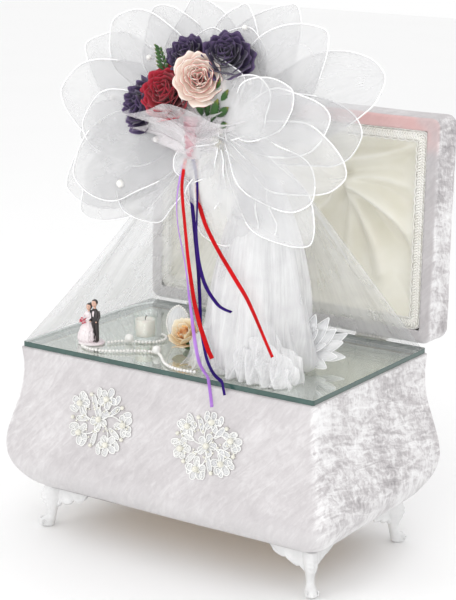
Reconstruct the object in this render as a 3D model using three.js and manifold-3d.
// A wedding card box: a bombe chest on four cabriole feet, covered in velvet, with a glass
// plate on top and a hinged, satin-lined lid that stands open at the back. On the glass stand
// a tulle and organza spray with a bouquet, a bride and groom, a candle, pearls and a rose.
// Millimetres, +Z up, the front faces -Y. The origin is the bottom centre of the whole box.

import * as THREE from 'three';
import { mergeVertices } from 'three/addons/utils/BufferGeometryUtils.js';
import Module from 'manifold-3d';

const wasm = await Module();
wasm.setup();

// ---- driving dimensions ----

const GLASS_LENGTH = 380;
const GLASS_DEPTH = 248;
const GLASS_THICKNESS = 6;
const GLASS_CORNER = 3;

const FOOT_HEIGHT = 50;
const FOOT_THICKNESS = 15;
const WING_LENGTH = 42;
const WING_THICKNESS = 7;
const FOOT_INSET_X = 12;
const FOOT_INSET_Y = 10;

const BODY_HEIGHT = 170;
const VELVET = 1.8;
const PANEL = 10;
const FLOOR = 6;
const FLOOR_LIFT = 10;
const LINING = 2.5;

const LID_OVERHANG_SIDES = 3;
const LID_OVERHANG_DEPTH = 9;
const LID_LENGTH = GLASS_LENGTH + 2 * LID_OVERHANG_SIDES;
const LID_DEPTH = GLASS_DEPTH + LID_OVERHANG_DEPTH;
const LID_CORNER = 9;
const LID_WALL = 10;
const LID_WALL_HEIGHT = 42;
const LID_PANEL = 3;
const LID_RIM = 12;
const LID_OPEN_ANGLE = Math.PI / 2;
const BRAID_WIDTH = 14.5;
const BRAID_THICKNESS = 2.6;
const BRAID_SINK = 0.4;

const HINGE_SPAN = 236;
const KNUCKLE_LENGTH = 13;
const KNUCKLE_RADIUS = 2.6;
const PIN_RADIUS = 1.2;
const LEAF_THICKNESS = 1.2;
const LEAF_HEIGHT = 15;

const APPLIQUE_THICKNESS = 4;
const APPLIQUE_WIDTH = 92;
const APPLIQUE_HEIGHT = 70;
const APPLIQUE_LIFT = 0.65 * BODY_HEIGHT;

const RIBBON_WIDTH = 5;
const RIBBON_THICKNESS = 0.8;
const PEARL_RADIUS = 1.6;
const LARGE_PEARL_RADIUS = 4.6;

// ---- clearances ----

const TOUCH = 0.3;
const RUNNING = 0.3;
const LID_GAP = 0.8;
const KNUCKLE_GAP = 0.4;

// ---- heights and planes worked out from them ----

const BODY_TOP = FOOT_HEIGHT + BODY_HEIGHT;
const GLASS_TOP = BODY_TOP + TOUCH + GLASS_THICKNESS;
const ON_GLASS = GLASS_TOP + TOUCH;
const HALF_LENGTH = GLASS_LENGTH / 2;
const HALF_DEPTH = GLASS_DEPTH / 2;

// The body's swell beyond the glass, from its top down: share of the height, swell of the
// sides, swell of the front and back, corner radius.
const BOMBE = [
  [0, 3, 3, 7],
  [0.12, 2, 1.5, 8],
  [0.24, 4, 3, 10],
  [0.36, 9, 6.5, 13],
  [0.48, 16, 11, 16],
  [0.6, 22, 15.5, 19],
  [0.7, 24, 17, 21],
  [0.8, 21, 13.5, 22],
  [0.88, 14, 5, 22],
  [0.95, 5, -7, 21],
  [1, -5, -22, 20],
];
const TOP_SWELL = BOMBE[0][2];
const BOTTOM_SWELL = BOMBE[BOMBE.length - 1];

// The lid's crown: inset from its sides, height over the rim, and how far each moves inward
// for a millimetre of wall.
const CROWN = [
  [0, 0, 1, 0],
  [0, 38, 1, 0],
  [2, 45, 0.9, 0.4],
  [7, 50.5, 0.6, 0.8],
  [18, 55, 0.3, 0.95],
  [42, 60, 0.12, 1],
  [80, 63.5, 0.06, 1],
  [112, 65, 0, 1],
];

const CROWN_HEIGHT = CROWN[CROWN.length - 1][1];

const HINGE_Y = HALF_DEPTH + KNUCKLE_RADIUS + KNUCKLE_GAP;
const HINGE_Z = GLASS_TOP;
const LID_REAR = LEAF_THICKNESS + 2 * TOUCH;

// ---- solids ----

function solid(geometry) {
  const bare = geometry.index ? geometry.toNonIndexed() : geometry.clone();
  bare.deleteAttribute('normal');
  bare.deleteAttribute('uv');
  const merged = mergeVertices(bare, 1e-4);
  return new wasm.Manifold(
    new wasm.Mesh({
      numProp: 3,
      vertProperties: new Float32Array(merged.attributes.position.array),
      triVerts: new Uint32Array(merged.index.array),
    }),
  );
}

function geometryOf(manifold) {
  const mesh = manifold.getMesh();
  const geometry = new THREE.BufferGeometry();
  geometry.setAttribute('position', new THREE.BufferAttribute(mesh.vertProperties, 3));
  geometry.setIndex(new THREE.BufferAttribute(mesh.triVerts, 1));
  geometry.computeVertexNormals();
  return geometry;
}

function box(lowX, highX, lowY, highY, lowZ, highZ) {
  const geometry = new THREE.BoxGeometry(highX - lowX, highY - lowY, highZ - lowZ);
  return geometry.translate((lowX + highX) / 2, (lowY + highY) / 2, (lowZ + highZ) / 2);
}

// A ring of points round a rectangle with round corners, anticlockwise seen from above.
function ring(halfX, front, back, radius, z, cornerSteps = 3) {
  const points = [];
  const corners = [
    [halfX - radius, back - radius, 0],
    [-halfX + radius, back - radius, 1],
    [-halfX + radius, -front + radius, 2],
    [halfX - radius, -front + radius, 3],
  ];
  for (const [x, y, quarter] of corners) {
    for (let k = 0; k <= cornerSteps; k += 1) {
      const angle = (quarter + k / cornerSteps) * (Math.PI / 2);
      points.push([x + radius * Math.cos(angle), y + radius * Math.sin(angle), z]);
    }
  }
  return points;
}

// A closed solid through rings of equal count, the lowest first.
function loft(rings) {
  const count = rings[0].length;
  const positions = rings.flat(2);
  const index = [];
  for (let k = 0; k + 1 < rings.length; k += 1) {
    for (let i = 0; i < count; i += 1) {
      const a = k * count + i;
      const b = k * count + ((i + 1) % count);
      index.push(a, b, b + count, a, b + count, a + count);
    }
  }
  for (const [first, down] of [[0, true], [(rings.length - 1) * count, false]]) {
    const centre = positions.length / 3;
    const middle = [0, 0, 0];
    for (let i = 0; i < count; i += 1) {
      for (let axis = 0; axis < 3; axis += 1) {
        middle[axis] += positions[(first + i) * 3 + axis] / count;
      }
    }
    positions.push(...middle);
    for (let i = 0; i < count; i += 1) {
      const next = first + ((i + 1) % count);
      index.push(centre, down ? next : first + i, down ? first + i : next);
    }
  }
  const geometry = new THREE.BufferGeometry();
  geometry.setAttribute('position', new THREE.Float32BufferAttribute(positions, 3));
  geometry.setIndex(index);
  return geometry;
}

// A tube or strip with a flat section carried along a smooth path.
function sweep(points, halfWidth, halfThickness, sides, steps) {
  const section = new THREE.Shape();
  for (let i = 0; i < sides; i += 1) {
    const angle = ((i + 0.5) / sides) * 2 * Math.PI;
    const x = halfThickness * Math.cos(angle);
    const y = halfWidth * Math.sin(angle);
    if (i === 0) section.moveTo(x, y);
    else section.lineTo(x, y);
  }
  section.closePath();
  const path = new THREE.CatmullRomCurve3(points.map((p) => new THREE.Vector3(...p)));
  return new THREE.ExtrudeGeometry(section, { steps, bevelEnabled: false, extrudePath: path });
}

function lathe(profile, segments) {
  const points = profile.map(([radius, height]) => new THREE.Vector2(radius, height));
  return new THREE.LatheGeometry(points, segments).rotateX(Math.PI / 2);
}

function ellipsoid(radiusX, radiusY, radiusZ, across = 12, around = 8) {
  return new THREE.SphereGeometry(1, across, around).scale(radiusX, radiusY, radiusZ);
}

function extrude(outline, thickness) {
  const shape = new THREE.Shape(outline.map(([x, y]) => new THREE.Vector2(x, y)));
  return new THREE.ExtrudeGeometry(shape, { depth: thickness, bevelEnabled: false });
}

// The four mitred sectors of a frame of half size (halfX, halfY) round (0, middleY).
function sectors(halfX, halfY, middleY, lowZ, highZ) {
  const reach = Math.min(halfX, halfY) * 0.8;
  const slip = TOUCH * 0.85;
  const outX = halfX + reach;
  const outY = halfY + reach;
  const inX = halfX - reach;
  const inY = halfY - reach;
  const prism = (outline, x, y) =>
    solid(extrude(outline, highZ - lowZ).translate(x, middleY + y, lowZ));
  return {
    front: prism([[-outX, -outY], [outX, -outY], [inX, -inY], [-inX, -inY]], 0, -slip),
    back: prism([[outX, outY], [-outX, outY], [-inX, inY], [inX, inY]], 0, slip),
    left: prism([[-outX, outY], [-outX, -outY], [-inX, -inY], [-inX, inY]], -slip, 0),
    right: prism([[outX, -outY], [outX, outY], [inX, inY], [inX, -inY]], slip, 0),
  };
}

// ---- materials and the scene ----

const cardBox = new THREE.Group();
const lid = new THREE.Group();
lid.position.set(0, HINGE_Y, HINGE_Z);
lid.rotation.x = -LID_OPEN_ANGLE;
cardBox.add(lid);

function add(parent, name, geometry, colour, roughness, metalness = 0) {
  const material = new THREE.MeshStandardMaterial({ color: colour, roughness, metalness });
  const mesh = new THREE.Mesh(geometry, material);
  mesh.name = name;
  parent.add(mesh);
  return mesh;
}

const VELVET_GREY = 0xd9d4d4;
const SATIN_CREAM = 0xe6e3d2;
const BARE_WOOD = 0xc9a97b;
const CAST_WHITE = 0xe4e4e2;
const STEEL = 0x9a9a98;
const TULLE_WHITE = 0xeceef0;
const PEARL = 0xf2ead9;

// ---- the body ----

// The body's outside moved inward by an inset, between two heights. With reach, the ends run
// on straight past both heights.
function bodyLoft(inset, lowZ, highZ, reach = 0) {
  const rings = BOMBE.map(([share, side, front, radius]) => {
    const z = Math.min(highZ, Math.max(lowZ, BODY_TOP - share * BODY_HEIGHT));
    const corner = Math.max(2, radius - inset);
    const half = HALF_DEPTH + front - inset;
    return ring(HALF_LENGTH + side - inset, half, half, corner, z);
  }).reverse();
  if (reach > 0) {
    rings.unshift(rings[0].map(([x, y]) => [x, y, lowZ - reach]));
    rings.push(rings[rings.length - 1].map(([x, y]) => [x, y, highZ + reach]));
  }
  const kept = rings.filter((points, k) => k === 0 || points[0][2] > rings[k - 1][0][2] + 1e-6);
  return solid(loft(kept));
}

function buildBody() {
  const low = FOOT_HEIGHT;
  const past = 5;
  const skinIn = bodyLoft(VELVET, low + VELVET, BODY_TOP - VELVET);
  const opening = VELVET + TOUCH + PANEL;
  const throughTop = solid(
    loft([
      ring(HALF_LENGTH + BOMBE[0][1] - opening, HALF_DEPTH + TOP_SWELL - opening,
        HALF_DEPTH + TOP_SWELL - opening, 3, BODY_TOP - 2 * past),
      ring(HALF_LENGTH + BOMBE[0][1] - opening, HALF_DEPTH + TOP_SWELL - opening,
        HALF_DEPTH + TOP_SWELL - opening, 3, BODY_TOP + past),
    ]),
  );
  const [, bottomSide, bottomFront] = BOTTOM_SWELL;
  const under = 2 * opening;
  const throughBottom = solid(
    loft([
      ring(HALF_LENGTH + bottomSide - under, HALF_DEPTH + bottomFront - under,
        HALF_DEPTH + bottomFront - under, 10, low - past),
      ring(HALF_LENGTH + bottomSide - under, HALF_DEPTH + bottomFront - under,
        HALF_DEPTH + bottomFront - under, 10, low + past),
    ]),
  );
  const cover = bodyLoft(0, low, BODY_TOP)
    .subtract(skinIn)
    .subtract(throughTop)
    .subtract(throughBottom);
  add(cardBox, 'velvet_cover', geometryOf(cover), VELVET_GREY, 0.8);

  const backing = VELVET + TOUCH;
  const carcassLow = low + backing;
  const carcass = bodyLoft(backing, carcassLow, BODY_TOP - backing)
    .subtract(bodyLoft(backing + PANEL, carcassLow, BODY_TOP - backing, past));
  const cuts = sectors(HALF_LENGTH, HALF_DEPTH, 0, low - past, BODY_TOP + past);
  for (const side of ['front', 'back', 'left', 'right']) {
    add(cardBox, `${side}_panel`, geometryOf(carcass.intersect(cuts[side])), BARE_WOOD, 0.7);
  }

  const inside = backing + PANEL + TOUCH;
  const floorLow = low + FLOOR_LIFT;
  const floorHigh = floorLow + FLOOR;
  const slab = solid(box(-HALF_LENGTH, HALF_LENGTH, -HALF_DEPTH, HALF_DEPTH, floorLow, floorHigh));
  const floorBoard = bodyLoft(inside, low, BODY_TOP).intersect(slab);
  add(cardBox, 'floor_board', geometryOf(floorBoard), BARE_WOOD, 0.7);

  const liningLow = floorHigh + TOUCH;
  const lining = bodyLoft(inside, low, BODY_TOP)
    .intersect(solid(box(-HALF_LENGTH * 2, HALF_LENGTH * 2, -HALF_DEPTH * 2, HALF_DEPTH * 2,
      liningLow, BODY_TOP - backing)))
    .subtract(
      bodyLoft(inside + LINING, low, BODY_TOP, past)
        .intersect(solid(box(-HALF_LENGTH * 2, HALF_LENGTH * 2, -HALF_DEPTH * 2, HALF_DEPTH * 2,
          liningLow + LINING, BODY_TOP + past))),
    );
  add(cardBox, 'chest_lining', geometryOf(lining), SATIN_CREAM, 0.35);
}

function buildGlass() {
  const plate = loft([
    ring(HALF_LENGTH, HALF_DEPTH, HALF_DEPTH, GLASS_CORNER, BODY_TOP + TOUCH),
    ring(HALF_LENGTH, HALF_DEPTH, HALF_DEPTH, GLASS_CORNER, GLASS_TOP),
  ]);
  add(cardBox, 'glass_top', plate, 0xa9bdb2, 0.05);
}

// ---- the feet ----

function footGeometry() {
  const top = FOOT_HEIGHT - TOUCH;
  const side = new THREE.Shape();
  side.moveTo(0, 0);
  side.lineTo(13, 0);
  side.bezierCurveTo(18, 1, 18, 9, 12, 10);
  side.bezierCurveTo(7, 11, 6, 14, 7, 19);
  side.bezierCurveTo(9, 28, 14, 34, 12, top - 5);
  side.lineTo(10, top);
  side.lineTo(-14, top);
  side.bezierCurveTo(-14, 36, -6, 30, -4, 20);
  side.bezierCurveTo(-3, 12, -3, 5, 0, 0);
  const leg = new THREE.ExtrudeGeometry(side, {
    depth: FOOT_THICKNESS,
    bevelEnabled: false,
    curveSegments: 5,
  });
  leg.translate(0, 0, -FOOT_THICKNESS / 2).rotateX(Math.PI / 2).rotateZ(-Math.PI / 4);

  const wing = new THREE.Shape();
  wing.moveTo(0, top);
  wing.lineTo(-WING_LENGTH, top);
  const tip = -WING_LENGTH;
  wing.bezierCurveTo(tip - 3, top - 8, tip + 6, top - 12, tip + 10, top - 7);
  wing.bezierCurveTo(tip + 11, top - 14, tip + 22, top - 16, tip + 24, top - 11);
  wing.bezierCurveTo(-14, top - 19, -8, top - 22, 0, top - 24);
  wing.closePath();
  const alongX = new THREE.ExtrudeGeometry(wing, {
    depth: WING_THICKNESS,
    bevelEnabled: false,
    curveSegments: 4,
  });
  alongX.rotateX(Math.PI / 2).translate(3, WING_THICKNESS - 2, 0);
  const alongY = alongX.clone().applyMatrix4(
    new THREE.Matrix4().set(0, -1, 0, 0, -1, 0, 0, 0, 0, 0, 1, 0, 0, 0, 0, 1),
  );
  const flipped = alongY.index ? alongY.toNonIndexed() : alongY;
  const array = flipped.attributes.position.array;
  for (let i = 0; i < array.length; i += 9) {
    for (let axis = 0; axis < 3; axis += 1) {
      const kept = array[i + 3 + axis];
      array[i + 3 + axis] = array[i + 6 + axis];
      array[i + 6 + axis] = kept;
    }
  }
  return geometryOf(solid(leg).add(solid(alongX)).add(solid(flipped)));
}

function buildFeet() {
  const geometry = footGeometry();
  const x = HALF_LENGTH + BOTTOM_SWELL[1] - FOOT_INSET_X;
  const y = HALF_DEPTH + BOTTOM_SWELL[2] - FOOT_INSET_Y;
  const places = [
    ['foot_front_right', x, -y, 0],
    ['foot_back_right', x, y, 1],
    ['foot_back_left', -x, y, 2],
    ['foot_front_left', -x, -y, 3],
  ];
  for (const [name, footX, footY, quarter] of places) {
    const foot = add(cardBox, name, geometry.clone(), CAST_WHITE, 0.5);
    foot.position.set(footX, footY, 0);
    foot.rotation.z = (quarter * Math.PI) / 2;
  }
}

// ---- the two lace appliques on the front ----

// Name, place along the front, and number of lobes.
const APPLIQUES = [
  ['applique_left', -69, 5],
  ['applique_right', 70, 6],
];
const OUTLINE_POINTS = 42;

function buildAppliques() {
  const shell = bodyLoft(-APPLIQUE_THICKNESS - TOUCH, FOOT_HEIGHT, BODY_TOP)
    .subtract(bodyLoft(-TOUCH, FOOT_HEIGHT, BODY_TOP, 1));
  for (const [name, x, lobes] of APPLIQUES) {
    const outline = [];
    for (let i = 0; i < OUTLINE_POINTS; i += 1) {
      const angle = (i / OUTLINE_POINTS) * 2 * Math.PI;
      const share = 0.9 + 0.1 * Math.cos(lobes * angle);
      outline.push([
        (APPLIQUE_WIDTH / 2) * share * Math.cos(angle),
        (APPLIQUE_HEIGHT / 2) * share * Math.sin(angle),
      ]);
    }
    const cutter = extrude(outline, HALF_DEPTH).rotateX(Math.PI / 2);
    cutter.translate(x, -HALF_DEPTH / 2, FOOT_HEIGHT + APPLIQUE_LIFT);
    add(cardBox, name, geometryOf(shell.intersect(solid(cutter))), 0xe8e6e0, 0.7);
  }
}

// ---- the lid, drawn closed round the hinge axis ----

const LID_MIDDLE_Y = -LID_REAR - LID_DEPTH / 2;

// The lid's outside moved inward by a wall, from a height over the rim up to its crown.
function lidLoft(wall, low, reach = 0) {
  const rings = CROWN.map(([inset, height, sideways, downward], k) => {
    const sideInset = inset + wall * sideways;
    const z = LID_GAP + (k === 0 ? low : Math.max(low + 1, height - wall * downward));
    const half = LID_DEPTH / 2 - sideInset;
    const corner = Math.max(2, Math.min(LID_CORNER, half - 1) - wall * sideways);
    const points = ring(LID_LENGTH / 2 - sideInset, half, half, corner, z);
    return points.map(([x, y, height_]) => [x, y + LID_MIDDLE_Y, height_]);
  });
  if (reach > 0) rings.unshift(rings[0].map(([x, y, z]) => [x, y, z - reach]));
  return solid(loft(rings));
}

function lidPrism(inset, low, high) {
  const halfX = LID_LENGTH / 2 - inset;
  const halfY = LID_DEPTH / 2 - inset;
  return solid(box(-halfX, halfX, LID_MIDDLE_Y - halfY, LID_MIDDLE_Y + halfY,
    LID_GAP + low, LID_GAP + high));
}

function knuckleRoom() {
  const room = new THREE.CylinderGeometry(1, 1, 3 * KNUCKLE_LENGTH + 4, 16)
    .scale(KNUCKLE_RADIUS + 0.5, 1, KNUCKLE_RADIUS + 0.5)
    .rotateZ(Math.PI / 2);
  const left = solid(room.clone().translate(-HINGE_SPAN / 2, 0, 0));
  return left.add(solid(room.translate(HINGE_SPAN / 2, 0, 0)));
}

function buildLid() {
  const high = CROWN_HEIGHT + 25;
  const below = 10;
  const skin = lidLoft(0, 0)
    .subtract(lidLoft(VELVET, VELVET))
    .subtract(lidPrism(LID_RIM, -below, 2 * VELVET))
    .subtract(knuckleRoom());
  add(lid, 'lid_velvet_cover', geometryOf(skin), VELVET_GREY, 0.8);

  const backing = VELVET + TOUCH;
  const frame = lidLoft(backing, backing)
    .subtract(lidPrism(backing + LID_WALL, -below, high))
    .intersect(lidPrism(0, 0, LID_WALL_HEIGHT));
  const cuts = sectors(LID_LENGTH / 2, LID_DEPTH / 2, LID_MIDDLE_Y, -below, high);
  for (const side of ['front', 'back', 'left', 'right']) {
    add(lid, `lid_${side}_wall`, geometryOf(frame.intersect(cuts[side])), BARE_WOOD, 0.7);
  }

  const panel = lidLoft(backing, backing)
    .subtract(lidLoft(backing + LID_PANEL, backing, below))
    .intersect(lidPrism(0, LID_WALL_HEIGHT + TOUCH, high));
  add(lid, 'lid_top_panel', geometryOf(panel), BARE_WOOD, 0.7);

  const inside = backing + LID_WALL + TOUCH;
  const liningLow = BRAID_THICKNESS + 2 * TOUCH + BRAID_SINK;
  const underPanel = backing + LID_PANEL + TOUCH;
  const lining = lidLoft(underPanel, 1)
    .intersect(lidPrism(inside, liningLow, high))
    .subtract(
      lidLoft(underPanel + LINING, 1, below)
        .intersect(lidPrism(inside + BRAID_WIDTH - TOUCH, -below, high)),
    );
  add(lid, 'lid_lining', geometryOf(lining), SATIN_CREAM, 0.35);

  const braid = lidPrism(inside, BRAID_SINK, BRAID_SINK + BRAID_THICKNESS)
    .subtract(lidPrism(inside + BRAID_WIDTH, -below, below));
  add(lid, 'lid_braid', geometryOf(braid), 0xdedede, 0.6);
}

// ---- the hinges ----

function knuckle(middleX, length) {
  const outer = new THREE.CylinderGeometry(KNUCKLE_RADIUS, KNUCKLE_RADIUS, length, 16);
  const bore = PIN_RADIUS + RUNNING;
  const inner = new THREE.CylinderGeometry(bore, bore, length + 2, 16);
  outer.rotateZ(Math.PI / 2).translate(middleX, 0, 0);
  inner.rotateZ(Math.PI / 2).translate(middleX, 0, 0);
  return [solid(outer), solid(inner)];
}

function leaf(middleX, knuckles, lowY, up) {
  const half = 1.5 * KNUCKLE_LENGTH;
  const start = KNUCKLE_RADIUS + TOUCH * 2;
  const ends = [start, start + LEAF_HEIGHT].map((z) => (up ? z : -z)).sort((a, b) => a - b);
  let body = solid(box(middleX - half, middleX + half, lowY, lowY + LEAF_THICKNESS, ...ends));
  for (const place of knuckles) {
    const x = middleX + place * KNUCKLE_LENGTH;
    const length = KNUCKLE_LENGTH - TOUCH;
    const [outer, bore] = knuckle(x, length);
    const tabEnds = [0, start + 1].map((z) => (up ? z : -z)).sort((a, b) => a - b);
    const tab = solid(box(x - length / 2, x + length / 2, lowY, lowY + LEAF_THICKNESS, ...tabEnds));
    body = body.add(outer).add(tab).subtract(bore);
  }
  return body;
}

function buildHinges() {
  for (const [side, middleX] of [['left', -HINGE_SPAN / 2], ['right', HINGE_SPAN / 2]]) {
    const fixed = add(cardBox, `hinge_leaf_body_${side}`,
      geometryOf(leaf(middleX, [-1, 1], TOUCH, false)), STEEL, 0.3, 1);
    fixed.position.set(0, HINGE_Y, HINGE_Z);
    add(lid, `hinge_leaf_lid_${side}`,
      geometryOf(leaf(middleX, [0], -TOUCH - LEAF_THICKNESS, true)), STEEL, 0.3, 1);
    const pin = new THREE.CylinderGeometry(PIN_RADIUS, PIN_RADIUS, 3 * KNUCKLE_LENGTH + 1, 12);
    pin.rotateZ(Math.PI / 2).translate(middleX, HINGE_Y, HINGE_Z);
    add(cardBox, `hinge_pin_${side}`, pin, STEEL, 0.3, 1);
  }
}

// ---- the spray that stands on the glass ----

const STEM_X = 78;
const STEM_Y = -45;
const STEM_RADIUS = 4.5;

function buildArmature() {
  const disc = lathe([[0, 0], [34, 0], [34, 4], [0, 4]], 24).translate(STEM_X, STEM_Y, ON_GLASS);
  const wire = sweep(
    [
      [STEM_X, STEM_Y, ON_GLASS + 2],
      [STEM_X, STEM_Y, ON_GLASS + 90],
      [STEM_X, STEM_Y, ON_GLASS + 180],
      [STEM_X - 2, STEM_Y, ON_GLASS + 214],
      [STEM_X - 22, STEM_Y, ON_GLASS + 240],
      [STEM_X - 68, STEM_Y, ON_GLASS + 256],
    ],
    STEM_RADIUS, STEM_RADIUS, 8, 16,
  );
  add(cardBox, 'spray_armature', geometryOf(solid(disc).add(solid(wire))), 0xf0f0f0, 0.6);
}

function buildTulleColumn() {
  const bore = STEM_RADIUS + 0.8;
  const profile = [
    [35, 0.4],
    [70, 0.4],
    [73, 12],
    [66, 45],
    [50, 110],
    [31, 165],
    [15, 200],
    [11, 205],
    [bore, 205],
    [bore, 5.2],
    [35, 5.2],
    [35, 0.4],
  ];
  const column = lathe(profile, 20).translate(STEM_X, STEM_Y, ON_GLASS);
  add(cardBox, 'tulle_column', column, TULLE_WHITE, 0.9);
  const spray = ellipsoid(15, 20, 24).translate(STEM_X + 91, STEM_Y + 42, ON_GLASS + 24.2);
  add(cardBox, 'lace_spray', spray, TULLE_WHITE, 0.9);
}

// The veil falls behind the petals from the top of the armature, and its hem lies on the
// glass along the left and back edges. It is a thin sheet between two offset grids.
function buildVeil() {
  const edge = 3;
  const left = -HALF_LENGTH + edge;
  const right = HALF_LENGTH - edge;
  const front = -HALF_DEPTH + edge;
  const back = HALF_DEPTH - edge;
  const hem = new THREE.CatmullRomCurve3(
    [[left, front], [left, 0], [left + 8, back - 8], [0, back], [right, back]]
      .map(([x, y]) => new THREE.Vector3(x, y, ON_GLASS + 1)),
    false, 'catmullrom', 0.3,
  );
  const middle = new THREE.CatmullRomCurve3(
    [[-146, -14], [-120, 8], [-70, 30], [30, 42], [112, 34]]
      .map(([x, y]) => new THREE.Vector3(x, y, ON_GLASS + 132)),
  );
  const gather = new THREE.CatmullRomCurve3(
    [[-8, -12], [-2, -8], [8, -6], [20, -8], [26, -12]]
      .map(([x, y]) => new THREE.Vector3(x, y, ON_GLASS + 252)),
  );
  const across = 16;
  const up = 7;
  const thickness = 1.2;
  const positions = [];
  for (const side of [0, 1]) {
    for (let j = 0; j <= up; j += 1) {
      for (let i = 0; i <= across; i += 1) {
        const s = i / across;
        const path = new THREE.CatmullRomCurve3([hem.getPoint(s), middle.getPoint(s), gather.getPoint(s)]);
        const point = path.getPoint(j / up);
        const slope = new THREE.Vector3(point.x - STEM_X / 3, point.y + 70, 40).normalize();
        point.addScaledVector(slope, side * thickness);
        positions.push(point.x, point.y, point.z);
      }
    }
  }
  const row = across + 1;
  const layer = row * (up + 1);
  const index = [];
  for (let j = 0; j < up; j += 1) {
    for (let i = 0; i < across; i += 1) {
      const a = j * row + i;
      const b = a + 1;
      const c = a + row;
      const d = c + 1;
      index.push(a, b, d, a, d, c);
      index.push(a + layer, d + layer, b + layer, a + layer, c + layer, d + layer);
    }
  }
  const rim = [];
  for (let i = 0; i < across; i += 1) rim.push(i);
  for (let j = 0; j < up; j += 1) rim.push(j * row + across);
  for (let i = across; i > 0; i -= 1) rim.push(up * row + i);
  for (let j = up; j > 0; j -= 1) rim.push(j * row);
  for (let k = 0; k < rim.length; k += 1) {
    const a = rim[k];
    const b = rim[(k + 1) % rim.length];
    index.push(a, a + layer, b + layer, a, b + layer, b);
  }
  const geometry = new THREE.BufferGeometry();
  geometry.setAttribute('position', new THREE.Float32BufferAttribute(positions, 3));
  geometry.setIndex(index);
  add(cardBox, 'veil', geometry, TULLE_WHITE, 0.9);
}

// A petal lies in a plane parallel to the front: from the hub at an angle, with a length and
// a width.
function petalSolid(hubX, hubZ, planeY, angle, length, width) {
  const shape = new THREE.Shape();
  shape.moveTo(-6, 0);
  shape.bezierCurveTo(length * 0.2, -width * 0.62, length * 0.85, -width * 0.66, length, 0);
  shape.bezierCurveTo(length * 0.85, width * 0.66, length * 0.2, width * 0.62, -6, 0);
  const flat = new THREE.ExtrudeGeometry(shape, { depth: 2, bevelEnabled: false, curveSegments: 9 });
  flat.rotateZ((angle * Math.PI) / 180).rotateX(Math.PI / 2).translate(hubX, planeY, hubZ);
  return solid(flat);
}

function buildPetals() {
  const fans = [
    ['petals_back', [12, -30, ON_GLASS + 250], [
      [168, 172, 96],
      [148, 165, 92],
      [128, 150, 92],
      [105, 138, 88],
      [76, 132, 84],
      [52, 165, 92],
      [26, 212, 104],
      [200, 178, 92],
    ]],
    ['petals_left', [12, -62, ON_GLASS + 250], [
      [206, 168, 100],
      [186, 150, 84],
      [228, 130, 84],
    ]],
    ['petals_right', [44, -82, ON_GLASS + 256], [
      [-14, 150, 80],
      [-38, 150, 76],
      [-62, 100, 76],
      [30, 70, 70],
    ]],
  ];
  for (const [name, [hubX, planeY, hubZ], petals] of fans) {
    let fan = null;
    for (const [angle, length, width] of petals) {
      const petal = petalSolid(hubX, hubZ, planeY, angle, length, width);
      fan = fan ? fan.add(petal) : petal;
    }
    add(cardBox, name, geometryOf(fan), 0xe9ebee, 0.6);
  }
}

// ---- the bouquet in front of the petals ----

const HANDLE_X = 16;
const HANDLE_Y = -92;
const HANDLE_LOW = ON_GLASS + 226;

function buildBouquet() {
  const flowers = [
    ['flower_red', [20, 18, 20], [-14, -100, ON_GLASS + 298], 0xb7162b],
    ['flower_cream', [18, 17, 18], [30, -106, ON_GLASS + 314], 0xf3dfc6],
    ['flower_purple_left', [19, 16, 24], [-55, -94, ON_GLASS + 274], 0x3a2a4a],
    ['flower_purple_top', [13, 12, 12], [0, -84, ON_GLASS + 336], 0x3a2a4a],
    ['flower_purple_right', [19, 13, 12], [54, -86, ON_GLASS + 340], 0x3a2a4a],
  ];
  for (const [name, radii, place, colour] of flowers) {
    add(cardBox, name, ellipsoid(...radii), colour, 0.7).position.set(...place);
  }
  const leafBlade = ellipsoid(16, 1.4, 11, 12, 8);
  add(cardBox, 'leaf_right', leafBlade, 0x3c6a2c, 0.6).position.set(44, -92, ON_GLASS + 286);
  const fern = ellipsoid(7, 1.4, 12, 12, 8);
  add(cardBox, 'fern_left', fern, 0x2c5524, 0.6).position.set(-30, -88, ON_GLASS + 334);
  const handle = lathe([[0, 0], [7, 0], [9, 12], [9, 30], [15, 44], [0, 44]], 16);
  handle.translate(HANDLE_X, HANDLE_Y, HANDLE_LOW);
  add(cardBox, 'bouquet_handle', handle, 0xc7a6a8, 0.7);
}

// ---- the ribbons, from under the handle to their cut ends ----

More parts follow.
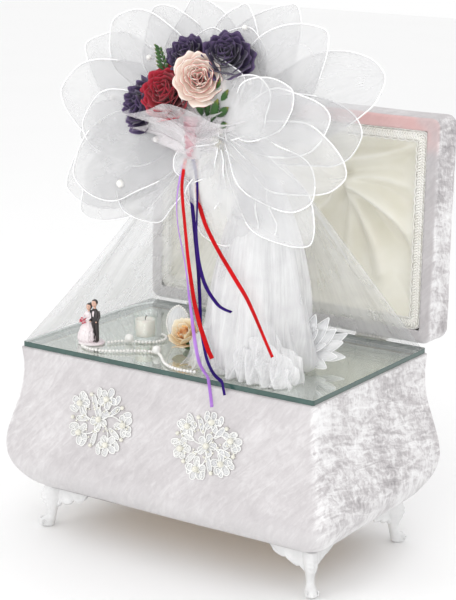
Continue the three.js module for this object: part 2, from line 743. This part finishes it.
const RIBBONS = {
  ribbon_lilac: [0xb79ad6, [
    [6.5, -92, 225.2], [2.5, -92, 214], [-0.5, -92, 200], [-2.5, -93, 184], [-2, -94, 166],
    [1, -95, 148], [6, -96, 131], [11, -97, 114], [15, -98, 97], [18, -99, 80],
    [22, -100, 62], [27, -103, 44], [34, -108, 27], [43, -114, 12], [54, -120, 4.4],
    [62, -126, 2.2], [67, -130.5, -5], [70, -132, -16], [72, -132.5, -27],
  ]],
  ribbon_red: [0xb7141c, [
    [10, -96, 225.2], [8, -97, 212], [7, -98, 196], [9, -99, 178], [12, -100, 160],
    [15, -101, 142], [18, -102, 124], [21, -102, 106], [24, -102, 90], [27, -102, 75],
    [31, -102, 61], [37, -104, 48], [45, -108, 37], [53, -113, 28], [62, -118.5, 21],
  ]],
  ribbon_violet_long: [0x2f1464, [
    [14, -89, 225.2], [12, -88.5, 211], [12, -88.5, 195], [14, -89, 177], [17, -90, 159],
    [20, -91, 141], [23, -92, 123], [26, -93, 105], [28, -94, 87], [30, -95, 69],
    [35, -101, 51], [44, -108.5, 33], [55, -117, 17], [67, -122.5, 6], [75, -125, 2.4],
    [81, -128, 1], [85, -131.5, -4], [88, -133, -11],
  ]],
  ribbon_violet_short: [0x2f1464, [
    [18, -94, 225.2], [22, -95, 212], [25, -96, 196], [26, -97, 180], [26.5, -98, 164],
    [27, -99, 148], [29, -100, 133], [32, -101, 118], [36, -101.5, 105], [41, -102, 94],
    [47.5, -103, 86], [56, -106, 80], [64, -109, 76], [73, -111, 74], [81, -112, 73],
  ]],
  ribbon_red_long: [0xb7141c, [
    [20, -90, 225.2], [20, -90, 211], [21, -91, 197], [24, -92, 183], [29, -93, 169],
    [36, -94, 155], [45, -95, 142], [56, -97, 129], [68, -99, 116], [81, -102, 103],
    [94, -105, 90], [106, -109, 76], [117, -113, 62], [127, -116, 48], [136, -118, 35],
  ]],
};

function buildRibbons() {
  for (const [name, [colour, route]] of Object.entries(RIBBONS)) {
    const points = route.map(([x, y, z]) => [x, y, ON_GLASS + z]);
    const strip = sweep(points, RIBBON_WIDTH / 2, RIBBON_THICKNESS / 2 / Math.cos(Math.PI / 8), 8, 24);
    add(cardBox, name, strip, colour, 0.4);
  }
}

// ---- the pearls, the couple, the candle and the rose on the glass ----

const PEARL_STRANDS = {
  pearl_strand_back: {
    route: [
      [-104, -78], [-101, -73], [-98, -68], [-94, -63], [-89, -60], [-83, -58], [-77, -56],
      [-71, -53], [-66, -49], [-62, -43], [-60, -36], [-61, -29], [-64, -23], [-69, -18],
      [-75, -15],
    ],
    large: [[-89, -60]],
  },
  pearl_strand_front: {
    route: [
      [-119, -107], [-110, -111], [-100, -112], [-90, -110], [-81, -105], [-72, -99],
      [-63, -92], [-54, -85], [-45, -81], [-36, -81], [-28, -86], [-20, -94], [-12, -103],
      [-3, -111], [7, -117], [18, -119.5], [29, -119.5], [39, -117],
    ],
    large: [[-36, -81]],
  },
};

function buildPearls() {
  for (const [name, { route, large }] of Object.entries(PEARL_STRANDS)) {
    const points = route.map(([x, y]) => [x, y, ON_GLASS + PEARL_RADIUS]);
    let strand = solid(sweep(points, PEARL_RADIUS, PEARL_RADIUS, 8, 26));
    for (const [x, y] of large) {
      const pearl = ellipsoid(LARGE_PEARL_RADIUS, LARGE_PEARL_RADIUS, LARGE_PEARL_RADIUS);
      strand = strand.add(solid(pearl.translate(x, y, ON_GLASS + LARGE_PEARL_RADIUS)));
    }
    add(cardBox, name, geometryOf(strand), PEARL, 0.3);
  }
}

function buildCouple() {
  const standX = -122;
  const standY = -86;
  const standHeight = 2.4;
  const stand = lathe([[0, 0], [15, 0], [15, 1.6], [14, standHeight], [0, standHeight]], 24);
  add(cardBox, 'couple_stand', stand.translate(standX, standY, ON_GLASS), 0xf4f2ee, 0.4);
  const feet = ON_GLASS + standHeight + TOUCH;
  const bride = lathe(
    [[0, 0], [6.6, 0], [6.2, 6], [4.4, 16], [2.6, 22], [3.4, 28], [1.6, 31], [1.3, 32.5],
      [3, 35], [3, 38], [0, 40.5]],
    16,
  );
  add(cardBox, 'bride', bride.translate(standX - 6.9, standY, feet), 0xf3dfe0, 0.6);
  const groom = lathe(
    [[0, 0], [3.6, 0], [3.4, 10], [3.8, 20], [4.4, 29], [1.8, 32.5], [1.4, 34], [3, 36.4],
      [3, 39.6], [0, 42]],
    16,
  );
  add(cardBox, 'groom', groom.translate(standX + 6.2, standY, feet), 0x1c1c20, 0.6);
}

const CANDLE_X = -84;
const CANDLE_Y = -36;
const CUP_RADIUS = 14;
const CUP_HEIGHT = 32;
const CUP_WALL = 2;
const CUP_BOTTOM = 4;
const CANDLE_HEIGHT = 20;

function buildCandle() {
  const inner = CUP_RADIUS - CUP_WALL;
  const cup = lathe(
    [[0, 0], [CUP_RADIUS - 1, 0], [CUP_RADIUS, 1.5], [CUP_RADIUS, CUP_HEIGHT],
      [inner, CUP_HEIGHT], [inner, CUP_BOTTOM], [0, CUP_BOTTOM]],
    24,
  );
  add(cardBox, 'candle_glass', cup.translate(CANDLE_X, CANDLE_Y, ON_GLASS), 0xdfe6e4, 0.05);
  const low = CUP_BOTTOM + TOUCH;
  const candle = lathe(
    [[0, low], [inner - TOUCH, low], [inner - TOUCH, low + CANDLE_HEIGHT], [0, low + CANDLE_HEIGHT]],
    20,
  );
  add(cardBox, 'candle', candle.translate(CANDLE_X, CANDLE_Y, ON_GLASS), 0xfbf9f2, 0.5);
}

function buildRose() {
  const rose = lathe(
    [[0, 0], [6, 0], [12, 7], [14, 18], [13, 28], [8, 34], [0, 35]],
    16,
  );
  add(cardBox, 'rose', rose.translate(-16, -42, ON_GLASS), 0xe9c79c, 0.7);
}

buildBody();
buildGlass();
buildFeet();
buildAppliques();
buildLid();
buildHinges();
buildArmature();
buildTulleColumn();
buildVeil();
buildPetals();
buildBouquet();
buildRibbons();
buildPearls();
buildCouple();
buildCandle();
buildRose();

// The whole box is centred over the origin and stands on z = 0.
cardBox.updateMatrixWorld(true);
const bounds = new THREE.Box3().setFromObject(cardBox, true);
const middle = bounds.getCenter(new THREE.Vector3());
cardBox.position.set(-middle.x, -middle.y, -bounds.min.z);
cardBox.updateMatrixWorld(true);

export default cardBox;
